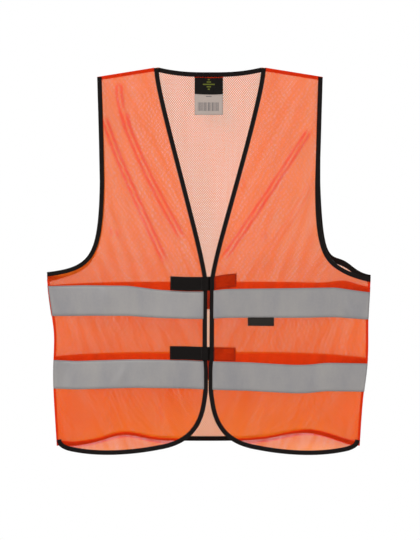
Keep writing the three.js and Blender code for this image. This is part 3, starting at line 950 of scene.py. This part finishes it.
MATERIALS = {
    "front_mesh": mesh_cloth("front_mesh", FRONT_KNIT, FRONT_TINTS, FRONT_GLOW),
    "back_mesh": mesh_cloth("back_mesh", BACK_KNIT, BACK_TINTS_SHADED, BACK_GLOW_SHADED),
    "seam": dense_cloth(),
    "binding": woven_tape("black_binding", BLACK, BLACK_LIGHT, 0.0011, 0.75),
    "tape": reflective_tape(),
    "hook": hook_tape("hook_tape", colour(8, 5, 4), colour(40, 28, 24), 0.0021),
    "loop": hook_tape("loop_tape", colour(30, 10, 7), colour(80, 24, 16), 0.0016),
    "black_label": woven_tape("black_label", colour(10, 9, 7), colour(30, 28, 22), 0.0008, 0.6),
    "grey_label": woven_tape(
        "grey_label", colour(176, 162, 154), colour(196, 183, 174), 0.0007, 0.7, LABEL_BUMP
    ),
    "tag": woven_tape("grey_tag", colour(34, 30, 26), colour(62, 57, 52), 0.0009, 0.65),
    "black_thread": thread_material("black_thread", colour(24, 20, 19)),
    "grey_thread": thread_material("grey_thread", colour(140, 142, 146)),
    "print": woven_tape(
        "label_print", colour(96, 94, 96), colour(120, 118, 120), 0.0007, 0.7, LABEL_BUMP
    ),
    "weave": woven_tape("label_weave", colour(92, 98, 34), colour(132, 138, 52), 0.0008, 0.6),
}

# ---- pieces that cross a front's fold, and the two sides ----

FOLD_MIDDLE_Z = -0.33


def bends_with(piece, side):
    """The piece crosses the fold of one front: side is left or right. Its transform is baked into its
    points; the fold's axis and middle are worked out but not used.
    """
    joint = JOINTS[f"{side}_front_open"]
    axis, middle = Vector(joint["axis"]), Vector(joint["pos_m"])
    middle += axis * ((FOLD_MIDDLE_Z - middle.z) / axis.z)
    across = Vector((abs(axis.z), 0, abs(axis.x))).normalized()
    across.x = math.copysign(across.x, middle.x)
    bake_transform(piece)


SIDES = {"left": 1, "right": -1}


def sided(place, sign):
    """The placing function for a path drawn for the wearer's left, on either side."""
    return lambda points, out=0.0: place(points * (sign, 1), out)


# ---- the pieces ----


FRONT_SPACING, BACK_SPACING = 0.0032, 0.006  # between the points of a panel


def make_back_panel():
    outline = back_outline()
    piece = panel("back_cloth", outline, BACK_SPACING, on_back, BACK_CREASES, BACK_SEED, "back_mesh")
    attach(piece, "vest_body")
    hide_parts("back_panel")


# Painted shadow of the back's tapes and hem on the front's thread: how softly it ends, and how dark it
# is at a tape.
SHADOW_SOFTNESS = 0.004
TAPE_SHADOW = 0.4  # how dark the painted shadow of a back tape is, against the hem's 1


def against(z, low, high):
    """1 between two heights, falling to 0 just beyond them."""
    return smooth((high - z) / SHADOW_SOFTNESS + 0.5) * smooth((z - low) / SHADOW_SOFTNESS + 0.5)


def painted_back_shadow(points):
    """Painted shadow on the front: where the back's tapes and hem lie behind it and keep light off it,
    a little at its tapes, and fully at its hem."""
    x, _, z = on_front(points).T

    def height(z_cut):
        return on_back(np.stack([x, z_cut], axis=1))[:, 2]

    hem = back_hem()
    foot = np.interp(x, hem[:, 0], hem[:, 1])
    share = against(z, height(foot), height(foot + BINDING))
    for level in ("upper", "lower"):
        low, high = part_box(f"back_{level}_tape")
        over = against(z, height(np.full_like(x, low.z)), height(np.full_like(x, high.z)))
        share = np.maximum(share, TAPE_SHADOW * over)
    return share


def make_front_panel(side):
    outline = front_outline()
    if SIDES[side] < 0:
        outline = mirrored(outline)
    name = f"{side}_front_cloth"
    piece = panel(name, outline, FRONT_SPACING, on_front, FRONT_CREASES, FRONT_SEED, "front_mesh")
    bends_with(piece, side)
    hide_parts(f"{side}_front_panel", f"{side}_side_panel")


STITCHES_IN = 0.0015  # a binding's stitches run this far from its inner edge


def make_front_binding(side):
    place = sided(on_front, SIDES[side])
    section = folded_section(BINDING, BINDING_HALF)
    piece = band(f"{side}_edge_binding", front_edge(), section, place, "binding")
    bends_with(piece, side)
    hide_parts(f"{side}_front_binding")
    rows = [inset(front_edge(), BINDING - STITCHES_IN)]
    for face, out in (("outer", BINDING_HALF), ("inner", -BINDING_HALF)):
        thread = stitched(f"{side}_edge_stitches_{face}", rows, place, 0.9 * out, "binding")
        bends_with(thread, side)


def make_body_bindings():
    section = folded_section(BINDING, BINDING_HALF)
    for part, path in (("back_neck", back_neck()), ("back_hem", back_hem())):
        piece = band(f"{part}_edge", path, section, on_back, "binding")
        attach(piece, "vest_body")
        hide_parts(f"{part}_binding")
        rows = [inset(path, BINDING - STITCHES_IN)]
        thread = stitched(f"{part}_stitches", rows, on_back, BINDING_HALF, "binding")
        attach(thread, "vest_body")


def make_armhole_binding(side):
    """The front's and the back's binding, which the frame has as one."""
    section = folded_section(BINDING, BINDING_HALF)
    for layer, place in (("front", on_front), ("back", on_back)):
        name = f"{side}_armhole_{layer}_edge"
        piece = band(name, armhole(), section, sided(place, SIDES[side]), "binding")
        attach(piece, "vest_body")
        if layer == "front":
            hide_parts(f"{side}_armhole_binding")


SEAM_STEP = 0.006
SEAM_OVER = 0.0006  # the sewn edge stands this far out from the panels' edges


def make_seams(side):
    """The turned-in cloth, from one binding to the next."""
    place = sided(on_seam, SIDES[side])
    side_top = (side_x(UNDERARM_Z - BINDING), UNDERARM_Z - BINDING)
    neck_end = (NECK_HALF + BINDING, shoulder_z(NECK_HALF + BINDING))
    for name, path, width in (
        ("side_seam", [(HEM_HALF, HEM_Z), side_top], SIDE_SEAM_WIDTH),
        ("shoulder_seam", [(SHOULDER_HALF, SHOULDER_Z), neck_end], SHOULDER_SEAM_WIDTH),
    ):
        outer = inset(resampled(np.array(path), SEAM_STEP), -SEAM_OVER)
        piece = band(f"{side}_{name}_allowance", outer, seam_section(width), place, "seam")
        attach(piece, "vest_body")
        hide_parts(f"{side}_{name}")


def edge_at(z):
    """The front edge's distance from the centre line at a height above its round corner."""
    path = front_edge()
    straight = path[(path[:, 1] > HEM_Z + 0.05) & (path[:, 0] < NECK_HALF + 0.005)]
    return np.interp(-z, -straight[:, 1], straight[:, 0])


def tape_between(top, bottom, inner, outer):
    """A tape's flat cut, from u = 0 at its inner end to u = 1, and from v = 0 at its top edge."""

    def at(u, v):
        z = top + (bottom - top) * v
        return inner(z) + (outer(z) - inner(z)) * u, z

    return at


TAPE_TUCKED = 0.0015  # under the front binding
TAPE_OVER = 0.0004  # past the side seam
TAPE_STITCHES_IN = 0.04  # of the tape's width


def tape_start(z):
    """How far from the centre line a front tape starts."""
    return edge_at(z) + BINDING - TAPE_TUCKED


def tape_end(z):
    return side_x(z) + TAPE_OVER


def tape_rows(at):
    """The two rows of stitches along a tape's edges."""
    u = np.linspace(0.004, 0.996, 80)
    shares = (TAPE_STITCHES_IN, 1 - TAPE_STITCHES_IN)
    return [np.stack(at(u, np.full_like(u, v)), axis=1) for v in shares]


def make_front_tape(side, level):
    node = f"{side}_{level}_tape"
    low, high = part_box(node)
    at = tape_between(high.z, low.z, tape_start, tape_end)
    place = sided(on_front, SIDES[side])
    piece = patch(f"{node}_strip", at, (60, 10), place, 2 * TAPE_HALF, TAPE_OUT, "tape")
    bends_with(piece, side)
    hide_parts(node, f"{node}_side")
    thread = stitched(f"{node}_stitches", tape_rows(at), place, TAPE_OUT + TAPE_HALF, "tape")
    bends_with(thread, side)
    middle = (low.z + high.z) / 2
    length = float(tape_end(middle) - tape_start(middle))


def make_back_tape(level):
    node = f"back_{level}_tape"
    low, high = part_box(node)
    at = tape_between(high.z, low.z, lambda z: -tape_end(z), tape_end)
    piece = patch(f"{node}_strip", at, (110, 10), on_back, 2 * TAPE_HALF, TAPE_OUT, "tape")
    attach(piece, "vest_body")
    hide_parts(node)
    thread = stitched(f"{node}_stitches", tape_rows(at), on_back, TAPE_OUT + TAPE_HALF, "tape")
    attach(thread, "vest_body")


def border(at, left, right, top, bottom):
    """A closed row of stitches round a patch."""
    u = np.array([left, right, right, left, left])
    v = np.array([top, top, bottom, bottom, top])
    return np.stack(at(u, v), axis=1)


HOOK_THICKNESS = 0.0012
HOOK_BORDER = 0.002  # from its edges to its stitches
HOOK_OUTSIDE = BINDING_HALF + 0.0012  # its distance out from the panel it is sewn on
HOOK_INSIDE = -BINDING_HALF - 0.0022  # and its distance out from the one it runs behind
HOOK_TURN = 0.0011  # it drops within this distance of the centre line


def hook_lift(x):
    """The tab's distance out from the panels, across the front."""
    return HOOK_OUTSIDE + (HOOK_INSIDE - HOOK_OUTSIDE) * smooth((x + HOOK_TURN) / (2 * HOOK_TURN))


def hook_columns(start, end):
    """Places across the tab, closer together where it drops."""
    before = np.linspace(start, -2 * HOOK_TURN, 26)
    drop = np.linspace(-1.6 * HOOK_TURN, 1.6 * HOOK_TURN, 13)
    return np.concatenate([before, drop, np.linspace(2 * HOOK_TURN, end, 16)])


def hook_sheet(low, high):
    """The tab's points, faces and flat cut: its two faces stand square to its own slope."""
    columns, rows = hook_columns(low.x, high.x), np.linspace(high.z, low.z, 8)
    flat = np.array([(x, z) for z in rows for x in columns])
    lift = np.tile(hook_lift(columns), len(rows))
    slope = np.tile(np.gradient(hook_lift(columns), columns), len(rows))
    rise = HOOK_THICKNESS / 2 / np.sqrt(1 + slope**2)
    shift = (rise * slope)[:, None] * (1, 0, 0)
    near = on_front(flat, lift + rise) - shift
    far = on_front(flat, lift - rise) + shift
    faces = sheet_faces(len(columns) - 1, len(rows) - 1)
    return np.vstack([near, far]), faces, np.vstack([flat, flat])


def make_hook_tab(level):
    """Sewn on the right front, the tab drops back through the gap and runs on behind the left."""
    node = f"{level}_hook_tab"
    low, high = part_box(node)
    points, faces, flat = hook_sheet(low, high)
    piece = make_piece(f"{node}_strip", points, faces, flat, "hook")
    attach(piece, "right_front")
    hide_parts(node)
    left, right = low.x + HOOK_BORDER, -EDGE_X - BINDING - HOOK_BORDER
    row = border(lambda x, z: (x, z), left, right, high.z - HOOK_BORDER, low.z + HOOK_BORDER)
    thread = stitched(f"{node}_stitches", [row], on_front, HOOK_OUTSIDE + HOOK_THICKNESS / 2, "hook")
    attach(thread, "right_front")


LOOP_OVER = 0.002  # the patch's cloth runs this far past its loops at both ends
LOOP_OUT = -0.0011
LOOP_STITCHES_OUT = 0.0004  # the stitches come through to the front
UPPER_LOOP_TILT = 0.075  # the upper patch rises towards the side


def make_loop_patch(level, tilt):
    node = f"{level}_loop_patch"
    low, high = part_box(node)

    def at(u, v):
        x = low.x - LOOP_OVER + (high.x + LOOP_OVER - low.x) * u
        return x, high.z + (low.z - high.z) * v + tilt * (x - low.x)

    piece = patch(f"{node}_strip", at, (16, 10), on_front, 0.001, LOOP_OUT, "loop")
    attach(piece, "left_front")
    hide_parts(node)
    row = border(at, 0.06, 0.95, 0.07, 0.93)
    thread = stitched(f"{node}_stitches", [row], on_front, LOOP_STITCHES_OUT, "loop")
    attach(thread, "left_front")


LABEL_LENGTH = 0.07
LABEL_TUCK = 0.005  # the labels are sewn on over the neck binding
LABEL_CURL = {"neck_label": 0.0015, "care_label": 0.003}
LABEL_DROOP = {"neck_label": 0.0012, "care_label": 0.0}  # of the lower edge's middle
PRINT_OUT = 0.00028


def hanging(node):
    """The placing function of a label, which hangs down inside the neck and curls a little."""
    low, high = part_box(node)
    middle_y = (low.y + high.y) / 2

    def place(points, out=0.0):
        x, z = points.T
        down = (NECK_DIP_Z - BINDING - z) / LABEL_LENGTH
        y = middle_y - out + LABEL_CURL[node] * down**2 + 0.0008 * np.sin(90 * x) * down
        return np.stack([x, y, z], axis=1)

    return place


def make_label(node, kind):
    low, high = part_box(node)

    def at(u, v):
        x = low.x + (high.x - low.x) * u
        top = high.z + LABEL_TUCK
        foot = low.z - LABEL_DROOP[node] * np.sin(math.pi * np.clip(u * 0.9, 0, 1))
        return x, top + (foot - top) * v

    piece = patch(f"{node}_cloth", at, (16, 24), hanging(node), 0.0004, 0, kind)
    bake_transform(piece)
    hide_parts(node)


def make_print(name, marks, node, kind):
    """Flat printed or woven marks: rectangles (x0, x1, z0, z1) just in front of a label."""
    points, faces = [], []
    for x0, x1, z0, z1 in marks:
        start = len(points)
        points += [(x0, z0), (x1, z0), (x1, z1), (x0, z1)]
        faces.append(range(start, start + 4))
    flat = np.array(points)
    piece = make_piece(name, hanging(node)(flat, PRINT_OUT), faces, flat, kind)
    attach(piece, "neck_labels")


BADGE = (0.0018, 0.0038, 0.0105, 0.0038, 0.0018)  # half the length of each bar
BADGE_TOP, BADGE_STEP, BADGE_BAR = 0.0040, 0.0042, 0.0011
PRINTED_LINES = (0.032, 0.036)  # above the care label's foot
LINE_HALF, LINE_HEIGHT = 0.005, 0.0012
BARS = 15
BAR_WIDTHS = (0.0008, 0.0014, 0.0011)
BARS_START, BAR_STEP = 0.12, 0.05  # of the label's width
BARS_LOW, BARS_HIGH = 0.007, 0.022


def badge_marks(low, high):
    """A generic woven badge: a few bars, one below the other."""
    centre = (low.x + high.x) / 2
    marks = []
    for i, half in enumerate(BADGE):
        z = high.z - BADGE_TOP - BADGE_STEP * i
        marks.append((centre - half, centre + half, z - BADGE_BAR, z + BADGE_BAR))
    return marks


def care_marks(low, high):
    """A generic print: two short lines over a row of bars."""
    centre, width = (low.x + high.x) / 2, high.x - low.x
    marks = []
    for up in PRINTED_LINES:
        marks.append((centre - LINE_HALF, centre + LINE_HALF, low.z + up, low.z + up + LINE_HEIGHT))
    for i in range(BARS):
        left = low.x + BARS_START * width + i * BAR_STEP * width
        right = left + BAR_WIDTHS[i % len(BAR_WIDTHS)]
        marks.append((left, right, low.z + BARS_LOW, low.z + BARS_HIGH))
    return marks


def make_labels():
    make_label("neck_label", "black_label")
    make_print("neck_label_weave", badge_marks(*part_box("neck_label")), "neck_label", "weave")
    make_label("care_label", "grey_label")
    make_print("care_label_print", care_marks(*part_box("care_label")), "care_label", "print")


TAG_TUCK = 0.0008  # under the tape above it
TAG_OUT = 0.0012


def make_side_tag():
    low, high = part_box("side_tag")

    def at(u, v):
        return low.x + (high.x - low.x) * u, high.z + TAG_TUCK + (low.z - high.z) * v

    piece = patch("side_tag_cloth", at, (14, 6), on_front, 0.0005, TAG_OUT, "tag")
    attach(piece, "side_tag")
    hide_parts("side_tag")
    row = border(at, 0.03, 0.97, 0.1, 0.9)
    thread = stitched("side_tag_stitches", [row], on_front, TAG_OUT + 0.0003, "tag")
    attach(thread, "side_tag")


def make_vest():
    make_back_panel()
    make_body_bindings()
    for level in ("upper", "lower"):
        make_back_tape(level)
        make_hook_tab(level)
    for side in SIDES:
        make_front_panel(side)
        make_front_binding(side)
        make_armhole_binding(side)
        make_seams(side)
        for level in ("upper", "lower"):
            make_front_tape(side, level)
    make_loop_patch("upper", UPPER_LOOP_TILT)
    make_loop_patch("lower", 0.0)
    make_labels()
    make_side_tag()


# ---- studio ----

VIEW_HEIGHT = 0.945  # the height of the view at the vest's front
CAMERA_DISTANCE = 5.0
CAMERA_AIM = Vector((-0.0009, -0.03, -0.357))
LAMP_AIM = Vector((0, 0, -0.35))
FLOOR_Z, FLOOR_RADIUS = -1.15, 2.1
ROOM_LIGHT = 0.52


def add_camera():
    data = bpy.data.cameras.new("camera")
    data.lens = data.sensor_width * CAMERA_DISTANCE / VIEW_HEIGHT
    camera = bpy.data.objects.new("camera", data)
    bpy.context.scene.collection.objects.link(camera)
    camera.location = CAMERA_AIM - Vector((0, CAMERA_DISTANCE, 0))
    camera.rotation_euler = (math.pi / 2, 0, 0)
    bpy.context.scene.camera = camera


def add_lamp(name, place, size, power):
    data = bpy.data.lights.new(name, "AREA")
    data.shape = "DISK"
    data.size = size
    data.energy = power
    lamp = bpy.data.objects.new(name, data)
    lamp.location = place
    lamp.rotation_euler = (LAMP_AIM - Vector(place)).to_track_quat("-Z", "Y").to_euler()
    lamp.visible_camera = False
    bpy.context.scene.collection.objects.link(lamp)


def add_world():
    """A white room: plain white to the eye, and a softer light on the vest."""
    world = bpy.data.worlds.new("studio")
    world.use_nodes = True
    nodes, links = world.node_tree.nodes, world.node_tree.links
    seen = nodes["Background"]
    seen.inputs["Color"].default_value = (1, 1, 1, 1)
    seen.inputs["Strength"].default_value = 1.0
    light = nodes.new("ShaderNodeBackground")
    light.inputs["Color"].default_value = (1, 1, 1, 1)
    light.inputs["Strength"].default_value = ROOM_LIGHT
    rays = nodes.new("ShaderNodeLightPath")
    mix = nodes.new("ShaderNodeMixShader")
    links.new(rays.outputs["Is Camera Ray"], mix.inputs[0])
    links.new(light.outputs[0], mix.inputs[1])
    links.new(seen.outputs[0], mix.inputs[2])
    links.new(mix.outputs[0], nodes["World Output"].inputs[0])
    bpy.context.scene.world = world


def add_floor():
    place = (0, 0, FLOOR_Z)
    bpy.ops.mesh.primitive_circle_add(
        vertices=96, radius=FLOOR_RADIUS, fill_type="NGON", location=place
    )
    floor = bpy.context.object
    floor.name = "floor"
    s = Shading("pale_floor")
    tint = s.node("BsdfDiffuse", {"Color": colour(232, 231, 229)})
    floor.data.materials.append(s.finish(tint.outputs[0]))


def add_studio():
    add_camera()
    add_world()
    add_lamp("key", (-1.6, -2.6, 1.3), 1.6, 50)
    add_lamp("fill", (2.2, -2.4, 0.2), 1.8, 16)
    add_lamp("back", (0.6, 2.8, 0.4), 1.8, 80)
    add_floor()
    bpy.context.scene.view_settings.view_transform = "Standard"


add_studio()
make_vest()
